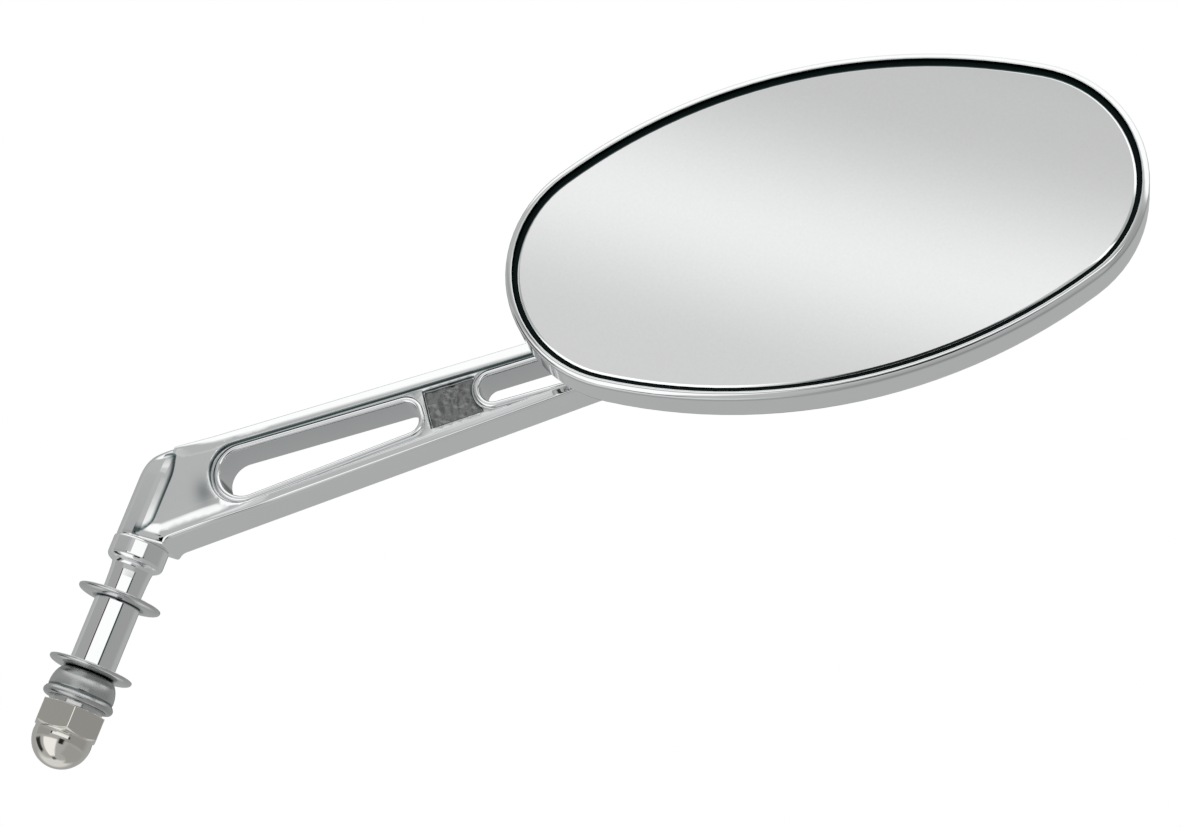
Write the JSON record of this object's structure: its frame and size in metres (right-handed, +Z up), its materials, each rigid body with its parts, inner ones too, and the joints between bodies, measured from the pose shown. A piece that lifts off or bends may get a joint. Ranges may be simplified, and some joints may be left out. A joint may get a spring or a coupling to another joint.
{
  "type": "motorcycle mirror",
  "caption": "Oval chromed motorcycle mirror on a straight tapered arm with two lightening slots, a ball joint behind the head and a vertical clamp stud with spacer, washers and cap nut",
  "frame": {"origin": "On the axis of the mounting stud, at the plane where the top of the spacer sleeve meets the underside of the upper washer.", "axes": "+Z runs up the mounting stud towards the bend of the arm, the glass faces -Y, and the arm leans towards +X."},
  "size_m": [0.1858, 0.0431, 0.1865],
  "materials": {
    "chrome": "bright polished chrome plate",
    "bright_nickel": "slightly warmer bright plate on small hardware",
    "steel": "zinc plated steel",
    "nylon": "natural nylon",
    "black_plate": "black painted sheet",
    "black_foam": "black foam tape",
    "mirror_glass": "flat silvered glass",
    "black_rubber": "black rubber edge strip"
  },
  "bodies": {
    "arm_body": {"arm": "chrome", "mounting_stud": "chrome", "upper_washer": "chrome", "spacer_sleeve": "chrome", "ball_stud": "steel", "pivot_washer": "steel", "pivot_nut": "steel"},
    "clamp_hardware": {"lower_washer": "chrome", "bell_spacer": "bright_nickel", "lock_washer": "steel", "cap_nut": "bright_nickel"},
    "liner": {"ball_liner": "nylon"},
    "cup": {"pressure_cup": "nylon"},
    "head": {"disc_springs": "steel", "retainer_plate": "steel", "retainer_screws": "steel", "head_shell": "chrome", "backing_plate": "black_plate", "foam_pad": "black_foam", "mirror_glass": "mirror_glass", "edge_gasket": "black_rubber"}
  },
  "joints": [
    {"name": "hardware_slide", "type": "slide", "parent": "arm_body", "child": "clamp_hardware", "axis": [0, 0, -1], "range_m": [0, 0.035]},
    {"name": "head_tilt_up", "type": "hinge", "parent": "arm_body", "child": "liner", "pos_m": [0.11889, -0.015, 0.10683], "axis": [0.8729, 0, 0.4879], "range_deg": [-8, 8]},
    {"name": "head_tilt_side", "type": "hinge", "parent": "liner", "child": "cup", "pos_m": [0.11889, -0.015, 0.10683], "axis": [-0.4879, 0, 0.8729], "range_deg": [-8, 8]},
    {"name": "head_spin", "type": "hinge", "parent": "cup", "child": "head", "pos_m": [0.11889, -0.015, 0.10683], "axis": [0, -1, 0], "continuous": true}
  ]
}
